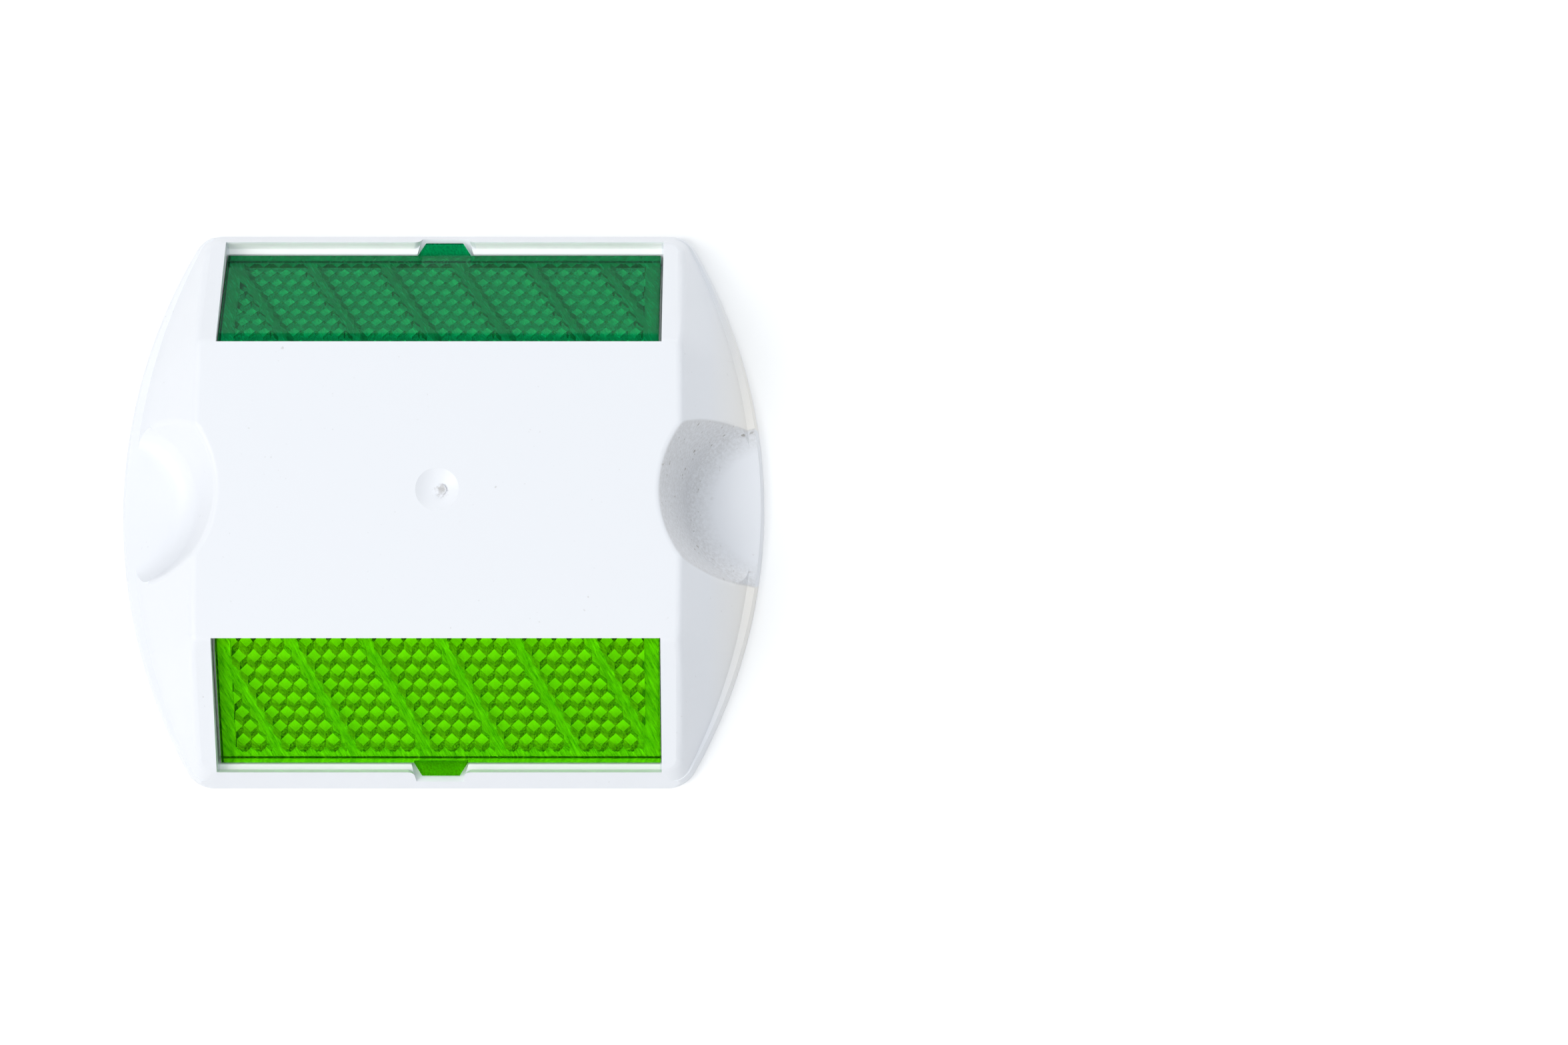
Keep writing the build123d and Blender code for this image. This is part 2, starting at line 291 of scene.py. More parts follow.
class RoadStudStage(bpy.types.PropertyGroup):
    """Camera, light and floor"""

    camera_distance: FloatProperty(
        name="Camera Distance", description="Camera to its aim", unit="LENGTH", default=0.92
    )
    camera_pitch: FloatProperty(
        name="Camera Pitch", description="Above the horizon", subtype="ANGLE", default=math.radians(79.72)
    )
    camera_aim: FloatVectorProperty(
        name="Camera Aim", description="Point in the middle of the picture", subtype="TRANSLATION", size=3,
        default=(53.93 * MM, -1.945 * MM, 0.0),
    )
    camera_lens: FloatProperty(
        name="Camera Lens", description="Focal length in millimetres", default=133.29
    )
    camera_sensor: FloatProperty(
        name="Camera Sensor", description="Width of the sensor in millimetres", default=36.0
    )
    floor_size: FloatProperty(
        name="Floor Size", description="Side of the square floor", unit="LENGTH", default=6.0
    )
    floor_drop: FloatProperty(
        name="Floor Drop", description="Gap that keeps the floor off the base's plane", unit="LENGTH",
        default=0.1 * MM,
    )
    floor_colour: FloatVectorProperty(
        name="Floor Colour", description="Pale floor", subtype="COLOR", size=3, default=(0.90, 0.90, 0.90)
    )
    floor_glow: FloatProperty(
        name="Floor Glow", description="Light that whitens the floor where it is seen", default=0.16
    )
    key_power: FloatProperty(
        name="Key Light", description="Power of the lamp on the left, in watts", default=9.2
    )
    key_place: FloatVectorProperty(
        name="Key Place", description="Middle of the lamp on the left", subtype="TRANSLATION", size=3,
        default=(-0.95, -0.35, 1.1),
    )
    front_power: FloatProperty(
        name="Front Light", description="Power of the lamp in front of the stud, in watts", default=3.2
    )
    front_place: FloatVectorProperty(
        name="Front Place", description="Middle of the lamp in front of the stud", subtype="TRANSLATION",
        size=3, default=(-0.1, -0.95, 1.1),
    )
    rear_power: FloatProperty(
        name="Rear Light", description="Power of the low lamp behind the stud, in watts", default=4.9
    )
    rear_place: FloatVectorProperty(
        name="Rear Place", description="Middle of the low lamp behind the stud", subtype="TRANSLATION",
        size=3, default=(0.35, 1.25, 0.45),
    )
    lamp_size: FloatProperty(
        name="Lamp Size", description="Width of each round lamp", unit="LENGTH", default=0.9
    )
    lamp_colour: FloatVectorProperty(
        name="Lamp Colour", description="Light of the lamps", subtype="COLOR", size=3,
        default=(1.0, 0.985, 0.96),
    )
    sky_colour: FloatVectorProperty(
        name="Sky Colour", description="Light of the sky", subtype="COLOR", size=3, default=(0.90, 0.95, 1.0)
    )
    sky_strength: FloatProperty(
        name="Sky", description="Soft light from overhead", default=0.79
    )
    horizon: FloatProperty(
        name="Horizon", description="Light from the horizon as a share of that from overhead", default=0.45
    )


class Value:
    """An output of a node. Arithmetic on it adds Math nodes to its material."""

    def __init__(self, finish, socket):
        self.finish = finish
        self.socket = socket

    def combine(self, operation, first, second):
        """Adds a Math node on two values or numbers."""
        return self.finish.node("ShaderNodeMath", {"operation": operation}, {0: first, 1: second})

    def __add__(self, other):
        return self.combine("ADD", self, other)

    __radd__ = __add__

    def __sub__(self, other):
        return self.combine("SUBTRACT", self, other)

    def __rsub__(self, other):
        return self.combine("SUBTRACT", other, self)

    def __mul__(self, other):
        return self.combine("MULTIPLY", self, other)

    __rmul__ = __mul__

    def below(self, limit):
        """1 where it is under a limit, and 0 elsewhere."""
        return self.combine("LESS_THAN", self, limit)

    def above(self, limit):
        """1 where it is over a limit, and 0 elsewhere."""
        return self.combine("GREATER_THAN", self, limit)

    def either(self, other):
        """The larger of two values."""
        return self.combine("MAXIMUM", self, other)

    def size(self):
        """Its distance from 0."""
        return self.combine("ABSOLUTE", self, 0.0)


class Finish:
    """A material, or the world, whose nodes are added one by one."""

    def __init__(self, owner):
        owner.use_nodes = True
        self.owner = owner
        self.tree = owner.node_tree
        self.tree.nodes.clear()

    def node(self, kind, settings=None, inputs=None, output=0):
        """Adds a node, makes its settings, fills or links its sockets, and returns one of its outputs."""
        made = self.tree.nodes.new(kind)
        for name, setting in (settings or {}).items():
            setattr(made, name, setting)
        for name, given in (inputs or {}).items():
            if isinstance(given, Value):
                self.tree.links.new(given.socket, made.inputs[name])
            elif isinstance(given, (tuple, Color)) and len(made.inputs[name].default_value) == 4:
                made.inputs[name].default_value = (*given, 1.0)
            else:
                made.inputs[name].default_value = given
        return Value(self, made.outputs[output]) if made.outputs else None

    def attribute(self, name, output="Fac"):
        """A mark that the piece's mesh carries."""
        return self.node("ShaderNodeAttribute", {"attribute_name": name}, output=output)

    def place(self):
        """The piece's own coordinates, in metres."""
        return self.node("ShaderNodeTexCoord", output="Object")

    def axis(self, name):
        """One of the piece's own coordinates."""
        return self.node("ShaderNodeSeparateXYZ", {}, {"Vector": self.place()}, output=name)

    def from_axis(self, across):
        """Distance from an upright axis that crosses the X axis."""
        inputs = {"Vector": self.place(), "Location": (-across, 0, 0), "Scale": (1, 1, 0)}
        level = self.node("ShaderNodeMapping", {}, inputs)
        return self.node("ShaderNodeVectorMath", {"operation": "LENGTH"}, {0: level}, output="Value")

    def noise(self, scale, detail=2.0, rough=0.5, place=None):
        """Noise from 0 to 1, on the piece's own coordinates or others, with its scale in patches a metre."""
        inputs = {"Vector": place or self.place(), "Scale": scale, "Detail": detail, "Roughness": rough}
        return self.node("ShaderNodeTexNoise", {}, inputs)

    def fade(self, value, start, end, low=0.0, high=1.0):
        """Goes from low to high as a value goes from start to end, and stays level beyond them."""
        inputs = {"Value": value, "From Min": start, "From Max": end, "To Min": low, "To Max": high}
        return self.node("ShaderNodeMapRange", {}, inputs)

    def mix(self, amount, first, second):
        """A colour between two colours."""
        inputs = {0: amount, 6: first, 7: second}
        return self.node("ShaderNodeMix", {"data_type": "RGBA"}, inputs, output=2)

    def bump(self, height, distance, strength):
        """A normal that follows a height, with the distance in metres."""
        inputs = {"Height": height, "Distance": distance, "Strength": strength}
        return self.node("ShaderNodeBump", {}, inputs)


def new_finish(name):
    """A new material with no nodes yet."""
    return Finish(bpy.data.materials.new(name))


def wear(obj, material):
    """Gives a piece one material."""
    obj.data.materials.clear()
    obj.data.materials.append(material)


def deselect():
    bpy.ops.object.select_all(action="DESELECT")


def make_active(obj):
    deselect()
    obj.select_set(True)
    bpy.context.view_layer.objects.active = obj


def pick(kind, test):
    """In edit mode, selects the vertices, edges or faces that pass a test, and no others."""
    bpy.ops.mesh.select_mode(type=kind)
    bpy.ops.mesh.select_all(action="DESELECT")
    mesh = bmesh.from_edit_mesh(bpy.context.edit_object.data)
    items = {"VERT": mesh.verts, "EDGE": mesh.edges, "FACE": mesh.faces}[kind]
    for item in items:
        if test(item):
            item.select_set(True)
    mesh.select_flush_mode()
    bmesh.update_edit_mesh(bpy.context.edit_object.data)


def middle(item):
    """Middle of an edge's or face's corners."""
    return sum((v.co for v in item.verts), Vector()) / len(item.verts)


def cut(point, normal, fill=False):
    """In edit mode, cuts the whole mesh along a plane and drops the side that its unit normal points to."""
    bpy.ops.mesh.select_all(action="SELECT")
    bpy.ops.mesh.bisect(plane_co=point, plane_no=normal, use_fill=fill, clear_outer=True, threshold=NEAR)


def repeat(obj, count, step):
    """Repeats a mesh by an array along a step and joins the points that meet."""
    array = obj.modifiers.new("Repeat", "ARRAY")
    array.count = count
    array.use_relative_offset = False
    array.use_constant_offset = True
    array.constant_offset_displace = step
    array.use_merge_vertices = True
    array.merge_threshold = NEAR
    bpy.ops.object.modifier_apply(modifier=array.name)


class ROADSTUD_OT_body(bpy.types.Operator):
    """Finish the white moulded body"""

    bl_idname = "road_stud.body"
    bl_label = "White Body"

    def execute(self, context):
        colours = context.scene.road_stud_finish
        lens = context.scene.road_stud_lens
        finish = new_finish("white_moulded_plastic")
        along = finish.axis("X")
        to_side = along.size()
        to_end = finish.axis("Y").size()
        height = finish.axis("Z")

        # Faint clouds, moulded grain and scattered patches of dust
        cloud = finish.noise(scale=90.0, detail=3.0)
        grain = finish.noise(scale=2600.0)
        specks = finish.fade(finish.noise(scale=1500.0, detail=1.0), start=0.74, end=0.80)
        patches = finish.fade(finish.noise(scale=140.0), start=0.52, end=0.75, high=0.5)
        darker = colours.body_colour * 0.86
        shade = finish.mix(cloud * 0.05, colours.body_colour, darker)

        # Grime and painted shade on the right scoop's wall, a cone about an upright axis, and a painted shade
        # line along its edge
        from_axis = finish.from_axis(colours.scoop_centre)
        spread = math.tan(colours.scoop_draft)
        foot = colours.scoop_radius - spread * colours.scoop_foot
        within = foot + spread * height - from_axis
        edge_outer = -0.4 * MM
        edge_peak = -0.16 * MM
        edge_inner = 0.1 * MM
        in_scoop = finish.fade(within, start=edge_outer, end=edge_inner)
        on_wall = finish.fade(from_axis, start=colours.scoop_grime_and_shade_start, end=colours.scoop_radius)
        painted_edge_shade = finish.fade(within, start=edge_outer, end=edge_peak, high=0.22)
        painted_edge_shade = painted_edge_shade * finish.fade(within, start=edge_inner, end=edge_peak)
        gritty = finish.noise(scale=1900.0, detail=3.0, rough=0.7)
        grit = finish.fade(gritty, start=0.35, end=0.62, low=0.12, high=0.42)
        spots = finish.fade(finish.noise(scale=1100.0, detail=1.0), start=0.70, end=0.76, high=0.8)
        grime_and_painted_shade = in_scoop * on_wall * (grit + spots) + painted_edge_shade
        grime_and_painted_shade = grime_and_painted_shade * height.above(colours.scoop_foot - SKIN)

        # Beige dust on the right flank, thicker towards the rim
        dusty = finish.fade(along, start=colours.rim_dust_start, end=colours.rim_dust_end, high=0.7)
        dusty = dusty * (1 - in_scoop) * height.above(SKIN)
        shade = finish.mix(dusty, shade, colours.rim_dust)

        # Rough grey nub of the gate mark
        ragged = 1.8 * finish.noise(scale=1700.0, detail=3.0, rough=0.7)
        near_nub = ragged - finish.from_axis(colours.nub_offset) * (1 / colours.nub_fade)
        nub = finish.fade(near_nub, start=0.35, end=0.85, high=0.65)
        # The dust colour also carries the right scoop's painted shade
        dust = finish.mix(specks * patches + grime_and_painted_shade + nub, shade, colours.body_dust_and_shade)

        # Painted light: the sealed cells and seats behind the lenses, and the shaded sills before them, take
        # a whiter plastic
        above_foot = height - lens.foot_z
        depth = math.sin(lens.tilt) * (to_end - lens.foot_y) + math.cos(lens.tilt) * above_foot
        head_y = lens.foot_y - math.cos(lens.tilt) * lens.reach - lens.thickness
        sealed = depth.below(lens.rim_bevel - lens.thickness) * height.above(lens.foot_z / 2)
        sealed = sealed * to_end.above(head_y)
        sill = (to_end - math.tan(lens.sill_draft) * above_foot).below(lens.foot_y + lens.sill + SKIN)
        sill = sill * to_end.above(lens.foot_y - SKIN) * height.above(lens.foot_z - SKIN)
        painted_light = (sealed + sill) * to_side.below(lens.length / 2)
        colour = finish.mix(painted_light, dust, colours.body_painted_light)
        shader = finish.node(
            "ShaderNodeBsdfPrincipled",
            {},
            {
                "Base Color": colour,
                "Roughness": 0.34 + 0.12 * cloud,
                "Normal": finish.bump(grain, distance=0.02 * MM, strength=0.35),
                "IOR": 1.5,
            },
        )
        finish.node("ShaderNodeOutputMaterial", {}, {"Surface": shader})
        wear(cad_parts["outer_body"], finish.owner)
        return {"FINISHED"}


class ROADSTUD_OT_core(bpy.types.Operator):
    """Finish the black ribbed core"""

    bl_idname = "road_stud.core"
    bl_label = "Black Core"

    def execute(self, context):
        colours = context.scene.road_stud_finish
        finish = new_finish("black_ribbed_plastic")
        cloud = finish.noise(scale=160.0, detail=3.0)
        grain = finish.noise(scale=3200.0)
        specks = finish.fade(finish.noise(scale=1900.0, detail=1.0), start=0.70, end=0.78, high=0.8)
        colour = finish.mix(specks, colours.core_colour, colours.core_dust)
        shader = finish.node(
            "ShaderNodeBsdfPrincipled",
            {},
            {
                "Base Color": colour,
                "Roughness": 0.38 + 0.2 * cloud,
                "Normal": finish.bump(grain, distance=0.03 * MM, strength=0.5),
                "IOR": 1.5,
                "Specular IOR Level": 0.3,
            },
        )
        finish.node("ShaderNodeOutputMaterial", {}, {"Surface": shader})
        wear(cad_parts["inner_core"], finish.owner)
        return {"FINISHED"}


def prism_sheet(lens):
    """All the prisms on the back of a lens, one modelled and repeated, as an open sheet."""
    pitch = lens.prism_pitch / MM
    row = lens.prism_row / MM
    radius = pitch / math.sqrt(3)
    rise = pitch / math.sqrt(6)
    row_across = pitch * math.sqrt(3) / 2
    lean = math.acos(row_across / row)
    riser = row * math.sin(lean)

    # One prism: a hexagon whose three squares meet in a tip, and the two risers below it
    bpy.ops.mesh.primitive_circle_add(vertices=6, radius=radius, fill_type="TRIFAN")
    obj = bpy.context.object
    bpy.ops.object.mode_set(mode="EDIT")

    def high(v):
        """Every other corner of the hexagon, which rises twice as far as the rest."""
        side = abs(v.co.x) > NEAR
        return v.co.length > NEAR and ((v.co.y > NEAR) if side else (v.co.y < -NEAR))

    def tip(v):
        return v.co.length < NEAR

    pick("EDGE", lambda e: any(map(tip, e.verts)) and any(map(high, e.verts)))
    bpy.ops.mesh.dissolve_edges(use_verts=False)
    pick("VERT", high)
    bpy.ops.transform.translate(value=(0, 0, 2 * rise))
    pick("VERT", lambda v: v.co.length > NEAR and abs(v.co.z) < NEAR)
    bpy.ops.transform.translate(value=(0, 0, rise))
    pick("EDGE", lambda e: middle(e).y < -radius / 2)
    bpy.ops.mesh.extrude_edges_move(TRANSFORM_OT_translate={"value": (0, 0, riser)})
    bpy.ops.object.mode_set(mode="OBJECT")

    # Rows of prisms to a cell, and cells side by side with room for a flat band between them
    per_cell = lens.prisms_per_cell
    cell_pitch = (per_cell + 1) * pitch
    rows = int(lens.reach / lens.prism_row) + SPARE_ROWS
    cells = int(lens.length / MM / cell_pitch) + SPARE_CELLS
    repeat(obj, per_cell, (pitch, 0, 0))
    repeat(obj, rows, (pitch / 2, -row_across, riser))
    repeat(obj, cells, (cell_pitch, 0, 0))

    # Leaned over to the slope of the rows, and put at the first tip
    before = cells // 2
    obj.rotation_euler = (lean, 0, 0)
    obj.location = (
        lens.first_tip_x / MM - before * cell_pitch,
        lens.first_tip_reach / MM,
        -lens.tip_depth / MM,
    )
    bpy.ops.object.transform_apply(location=True, rotation=True, scale=True)
    return obj


def trim_sheet(obj, lens):
    """Cuts the sheet of prisms to its field and walls it back to the weld plane."""
    half_field = (lens.length - 2 * lens.field_side) / MM / 2
    weld = (lens.seat_gap - lens.thickness) / MM
    bpy.ops.object.mode_set(mode="EDIT")
    cut((half_field, 0, 0), (1, 0, 0))
    cut((-half_field, 0, 0), (-1, 0, 0))
    cut((0, (lens.reach - lens.field_head) / MM, 0), (0, 1, 0))
    cut((0, lens.field_foot / MM, 0), (0, -1, 0))
    pick("EDGE", lambda e: e.is_boundary)
    bpy.ops.mesh.extrude_edges_move(TRANSFORM_OT_translate={"value": (0, 0, 2 * weld)})
    cut((0, 0, weld), (0, 0, -1))
    bpy.ops.object.mode_set(mode="OBJECT")


def lens_block(lens):
    """The lens without its back: a slab with its leaning strip and its gate tab."""
    length = lens.length / MM
    reach = lens.reach / MM
    weld = (lens.thickness - lens.seat_gap) / MM
    bpy.ops.mesh.primitive_cube_add(size=1, location=(0, reach / 2, -weld / 2), scale=(length, reach, weld))
    obj = bpy.context.object
    bpy.ops.object.transform_apply(location=True, rotation=True, scale=True)
    bpy.ops.object.mode_set(mode="EDIT")

    # Strip: the upper edge of the face cut back along a slant
    strip = lens.strip / MM
    dip = lens.strip_dip / MM
    cut((0, reach - strip, 0), Vector((0, dip, strip)).normalized(), fill=True)

    # Tab: part of the lower edge drawn out level with the road
    run = math.cos(lens.tilt)
    climb = math.sin(lens.tilt)
    root = lens.tab_root / MM
    tab = lens.tab_length / MM
    thick = lens.tab_thickness / MM

    def at_foot(face):
        return abs(middle(face).y) < NEAR

    def at_tab(face):
        return at_foot(face) and abs(middle(face).x) < root / 4 and middle(face).z > -thick / run

    for place, normal in (
        ((root / 2, 0, 0), (1, 0, 0)),
        ((-root / 2, 0, 0), (1, 0, 0)),
        ((0, 0, -thick / run), (0, 0, 1)),
    ):
        pick("FACE", at_foot)
        bpy.ops.mesh.bisect(plane_co=place, plane_no=normal, threshold=NEAR)
    pick("FACE", at_tab)
    out = (0, -tab * run, tab * climb)
    bpy.ops.mesh.extrude_region_move(TRANSFORM_OT_translate={"value": out})
    bpy.ops.transform.resize(value=(lens.tab_tip / lens.tab_root, 1, 1), center_override=(0, 0, 0))

    # The tab's underside drawn out further, so that its end stands upright
    lower = tab * climb - thick / run / 2
    pick("VERT", lambda v: v.co.y < -NEAR and v.co.z < lower)
    back = thick * climb / run
    bpy.ops.transform.translate(value=(0, -back * run, back * climb))

    # Rounded outer edges and crease, a bevel round the back, and the back taken out
    def on_top(edge):
        return any(face.normal.z > FACING for face in edge.link_faces)

    pick("EDGE", lambda e: on_top(e) and e.calc_face_angle() > LEAST_TURN)
    bpy.ops.mesh.bevel(offset=lens.edge_round / MM, segments=2, affect="EDGES")
    pick("EDGE", lambda e: all(v.co.z < -weld + NEAR for v in e.verts))
    bpy.ops.mesh.bevel(offset=lens.rim_bevel / MM, segments=1, affect="EDGES")
    pick("FACE", lambda f: f.normal.z < -SQUARE and middle(f).z < -weld + NEAR)
    bpy.ops.mesh.delete(type="FACE")
    bpy.ops.object.mode_set(mode="OBJECT")
    return obj


def grade_facets(obj, lens, grades):
    """Marks each face of the flat lens with its frost and shade, and each point with its place."""
    mesh = obj.data
    half_length = lens.length / MM / 2
    reach = lens.reach / MM
    rim = lens.rim_bevel / MM
    half_pitch = lens.prism_pitch / MM / 2
    marks = {
        "frost": ("FLOAT", "FACE"),
        "shade": ("FLOAT", "FACE"),
        "side": ("FLOAT", "CORNER"),
        "flat_place": ("FLOAT_VECTOR", "POINT"),
    }
    for name, (kind, domain) in marks.items():
        mesh.attributes.new(name, kind, domain)
    frost, shade, side, flat_place = (mesh.attributes[name].data for name in marks)
    for point in mesh.vertices:
        flat_place[point.index].vector = point.co * MM
    for face in mesh.polygons:
        normal = face.normal
        place = face.center
        to_edge = min(half_length - abs(place.x), place.y, reach - place.y)
        if place.y < -NEAR and normal.z < -FACING:
            grade = "tab_underside"
        elif normal.z > ALONG or abs(place.y) < NEAR:
            grade = "clear"
        elif to_edge < rim:
            grade = "rim"
        elif normal.z < -SQUARE:
            grade = "band"
        elif abs(normal.z) < ALONG:
            grade = "field_wall"
        elif abs(normal.x) < ALONG:
            grade = "window"
            # Painted shade on front windows and painted glints on rear ones: a window's frost fades from its
            # lower left to its upper right
            for loop in face.loop_indices:
                away = mesh.vertices[mesh.loops[loop].vertex_index].co - place
                side[loop].value = (away.x + away.y) / half_pitch
        elif normal.y > 0:
            grade = "clear"
        elif place.y > reach - lens.strip / MM:
            grade = "riser_strip"
        else:
            # Risers take a dark frost that is painted shade
            grade = "riser_right" if normal.x > 0 else "riser_left"
        frost[face.index].value, shade[face.index].value = grades[grade]


def lens_plastic(name, lens, tint, frosted, gloss, density):
    """Clear tinted plastic, frosted on the graded faces by tool marks drawn out along the slanting bands; the
    dark frost on the risers is painted shade.
    """
    finish = new_finish(name)
    clear = finish.node(
        "ShaderNodeBsdfPrincipled",
        {},
        {
            "Base Color": tint,
            "Roughness": 0.02,
            "IOR": 1.35,
            "Specular Tint": gloss,
            "Transmission Weight": 1.0,
        },
    )
    matt = finish.node(
        "ShaderNodeBsdfPrincipled",
        {},
        {
            "Base Color": finish.mix(finish.attribute("shade"), (0.0, 0.0, 0.0), frosted),
            "Roughness": 0.6,
            "Specular IOR Level": 0.0,
        },
    )
    along = finish.node(
        "ShaderNodeMapping",
        {"vector_type": "TEXTURE"},
        {
            "Vector": finish.attribute("flat_place", output="Vector"),
            "Rotation": (0, 0, math.atan2(lens.prism_pitch / 2, lens.prism_row)),
            "Scale": (1.0, MARK_STRETCH, 1.0),
        },
    )
    marks = finish.noise(scale=3600.0, detail=3.0, place=along)
    streaks = finish.fade(marks, start=0.3, end=0.7, low=0.4)
    amount = MARK_GAIN * finish.attribute("frost") * streaks * (1 - finish.attribute("side"))
    shader = finish.node("ShaderNodeMixShader", {}, {"Fac": amount, 1: clear, 2: matt})
    inside = finish.node("ShaderNodeVolumeAbsorption", {}, {"Color": tint, "Density": density})
    finish.node("ShaderNodeOutputMaterial", {}, {"Surface": shader, "Volume": inside})
    return finish.owner


class ROADSTUD_OT_lenses(bpy.types.Operator):
    """Model the front lens with its prisms, turn a copy of it to the rear, and finish both"""

    bl_idname = "road_stud.lenses"
    bl_label = "Prism Lenses"

    def execute(self, context):
        lens = context.scene.road_stud_lens
        colours = context.scene.road_stud_finish
        deselect()
        sheet = prism_sheet(lens)
        trim_sheet(sheet, lens)
        deselect()
        block = lens_block(lens)

        # The block and the prisms joined by the flat weld plane between them
        sheet.select_set(True)
        bpy.ops.object.join()
        bpy.ops.object.mode_set(mode="EDIT")
        bpy.ops.mesh.select_all(action="SELECT")
        bpy.ops.mesh.remove_doubles(threshold=NEAR)
        pick("EDGE", lambda e: e.is_boundary)
        bpy.ops.mesh.fill(use_beauty=True)
        bpy.ops.mesh.select_all(action="SELECT")
        bpy.ops.mesh.normals_make_consistent(inside=False)
        if bmesh.from_edit_mesh(block.data).calc_volume(signed=True) < 0:
            bpy.ops.mesh.flip_normals()
        bpy.ops.object.mode_set(mode="OBJECT")
        bpy.ops.object.duplicate(linked=False)
        copy = context.object

        # Both graded flat, laid on the front slope, and one turned to the rear
        for obj, node, grades, turn, tint, frosted, gloss in (
            (
                block, "front_lens", FRONT_GRADES, 0.0,
                colours.front_lens_colour, colours.front_lens_frost, colours.front_lens_gloss,
            ),
            # The rear copy wears painted shade: its darker, bluer colours and its own grades
            (
                copy, "rear_lens", REAR_SHADED_GRADES, math.pi,
                colours.rear_lens_shaded_colour, colours.rear_lens_shaded_frost, colours.rear_lens_shaded_gloss,
            ),
        ):
            grade_facets(obj, lens, grades)
            obj.name = node.replace("_", "_prism_")
            obj.data.name = obj.name
            make_active(obj)
            obj.scale = (MM, MM, MM)
            obj.rotation_euler = (lens.tilt, 0, 0)
            obj.location = (lens.shift, -lens.foot_y, lens.foot_z)
            bpy.ops.object.transform_apply(location=True, rotation=True, scale=True)
            obj.rotation_euler = (0, 0, turn)
            bpy.ops.object.transform_apply(location=True, rotation=True, scale=True)
            wear(obj, lens_plastic(node + "_plastic", lens, tint, frosted, gloss, colours.lens_density))
            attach(obj, "root")
            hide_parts(node)
        return {"FINISHED"}


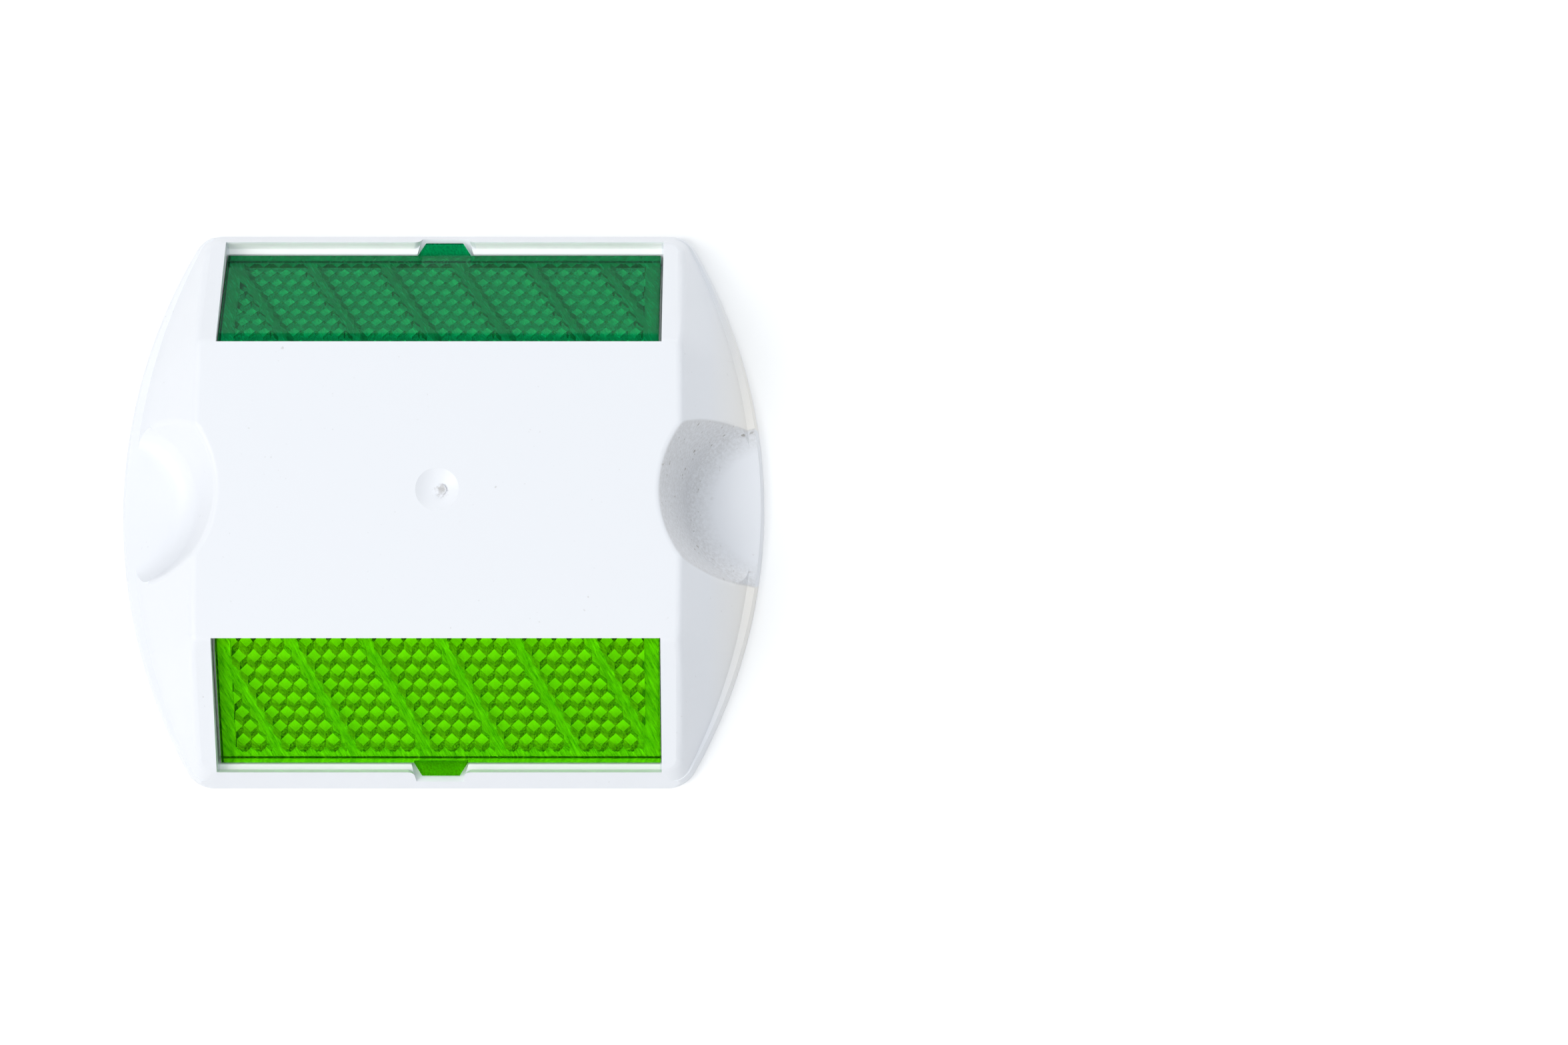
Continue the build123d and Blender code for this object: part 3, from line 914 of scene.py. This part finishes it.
class ROADSTUD_OT_stage(bpy.types.Operator):
    """Set the floor, the light and the camera"""

    bl_idname = "road_stud.stage"
    bl_label = "Stage"

    def execute(self, context):
        stage = context.scene.road_stud_stage
        deselect()
        bpy.ops.mesh.primitive_plane_add(size=stage.floor_size, location=(0, 0, -stage.floor_drop))
        floor = context.object
        floor.name = "floor"
        finish = new_finish("pale_floor")
        seen = finish.node("ShaderNodeLightPath", output="Is Camera Ray")
        for kind in ("Is Glossy Ray", "Is Transmission Ray"):
            seen = seen.either(finish.node("ShaderNodeLightPath", output=kind))
        matt = finish.node("ShaderNodeBsdfDiffuse", {}, {"Color": stage.floor_colour})
        strength = seen * stage.floor_glow
        glow = finish.node("ShaderNodeEmission", {}, {"Color": (1.0, 1.0, 1.0), "Strength": strength})
        both = finish.node("ShaderNodeAddShader", {}, {0: matt, 1: glow})
        finish.node("ShaderNodeOutputMaterial", {}, {"Surface": both})
        wear(floor, finish.owner)

        # Sky: bright overhead, as below a wide soft box, and dimmer towards the horizon
        world = bpy.data.worlds.new("soft_sky")
        context.scene.world = world
        sky = Finish(world)
        direction = sky.node("ShaderNodeTexCoord", output="Generated")
        height = sky.node("ShaderNodeSeparateXYZ", {}, {"Vector": direction}, output="Z")
        strength = stage.sky_strength * sky.fade(height, start=0.0, end=1.0, low=stage.horizon)
        light = sky.node("ShaderNodeBackground", {}, {"Color": stage.sky_colour, "Strength": strength})
        sky.node("ShaderNodeOutputWorld", {}, {"Surface": light})

        # Three round lamps, each turned to the middle of the stud
        for name, place, power in (
            ("key_lamp", stage.key_place, stage.key_power),
            ("front_lamp", stage.front_place, stage.front_power),
            ("rear_lamp", stage.rear_place, stage.rear_power),
        ):
            disk = bpy.data.lights.new(name, "AREA")
            disk.shape = "DISK"
            disk.size = stage.lamp_size
            disk.energy = power
            disk.color = stage.lamp_colour
            lamp = bpy.data.objects.new(name, disk)
            lamp.location = place
            lamp.rotation_euler = (-lamp.location).to_track_quat("-Z", "Y").to_euler()
            context.collection.objects.link(lamp)

        # Camera, square to the stud and looking steeply down
        eye = bpy.data.cameras.new("camera")
        eye.lens = stage.camera_lens
        eye.sensor_width = stage.camera_sensor
        eye.sensor_fit = "HORIZONTAL"
        eye.clip_start = 0.01
        eye.clip_end = 20.0
        camera = bpy.data.objects.new("camera", eye)
        aim = Vector(stage.camera_aim)
        back = Vector((0, -math.cos(stage.camera_pitch), math.sin(stage.camera_pitch)))
        camera.location = aim + back * stage.camera_distance
        camera.rotation_euler = (-back).to_track_quat("-Z", "Y").to_euler()
        context.collection.objects.link(camera)
        context.scene.camera = camera
        context.scene.view_settings.view_transform = "Standard"

        # Enough bounces for light to find its way out of the prisms and the cells behind them
        light_paths = context.scene.cycles
        light_paths.max_bounces = 48
        light_paths.diffuse_bounces = 16
        light_paths.glossy_bounces = 32
        light_paths.transmission_bounces = 32
        light_paths.blur_glossy = 0.0
        return {"FINISHED"}


class ROADSTUD_PT_panel(bpy.types.Panel):
    """Pieces of the road stud and their sizes and colours"""

    bl_idname = "ROADSTUD_PT_panel"
    bl_label = "Road Stud"
    bl_space_type = "VIEW_3D"
    bl_region_type = "UI"
    bl_category = "Road Stud"

    def draw(self, context):
        for operator in OPERATORS:
            self.layout.operator(operator.bl_idname)
        for group in ("road_stud_lens", "road_stud_finish", "road_stud_stage"):
            settings = getattr(context.scene, group)
            column = self.layout.column()
            for name in settings.__annotations__:
                column.prop(settings, name)


OPERATORS = (ROADSTUD_OT_body, ROADSTUD_OT_core, ROADSTUD_OT_lenses, ROADSTUD_OT_stage)
GROUPS = (RoadStudLens, RoadStudFinish, RoadStudStage)


def register():
    for cls in (*GROUPS, *OPERATORS, ROADSTUD_PT_panel):
        bpy.utils.register_class(cls)
    bpy.types.Scene.road_stud_lens = PointerProperty(type=RoadStudLens)
    bpy.types.Scene.road_stud_finish = PointerProperty(type=RoadStudFinish)
    bpy.types.Scene.road_stud_stage = PointerProperty(type=RoadStudStage)


def unregister():
    del bpy.types.Scene.road_stud_lens
    del bpy.types.Scene.road_stud_finish
    del bpy.types.Scene.road_stud_stage
    for cls in (ROADSTUD_PT_panel, *reversed(OPERATORS), *reversed(GROUPS)):
        bpy.utils.unregister_class(cls)


def main():
    register()
    bpy.ops.road_stud.body()
    bpy.ops.road_stud.core()
    bpy.ops.road_stud.lenses()
    bpy.ops.road_stud.stage()


if __name__ == "__main__":
    main()
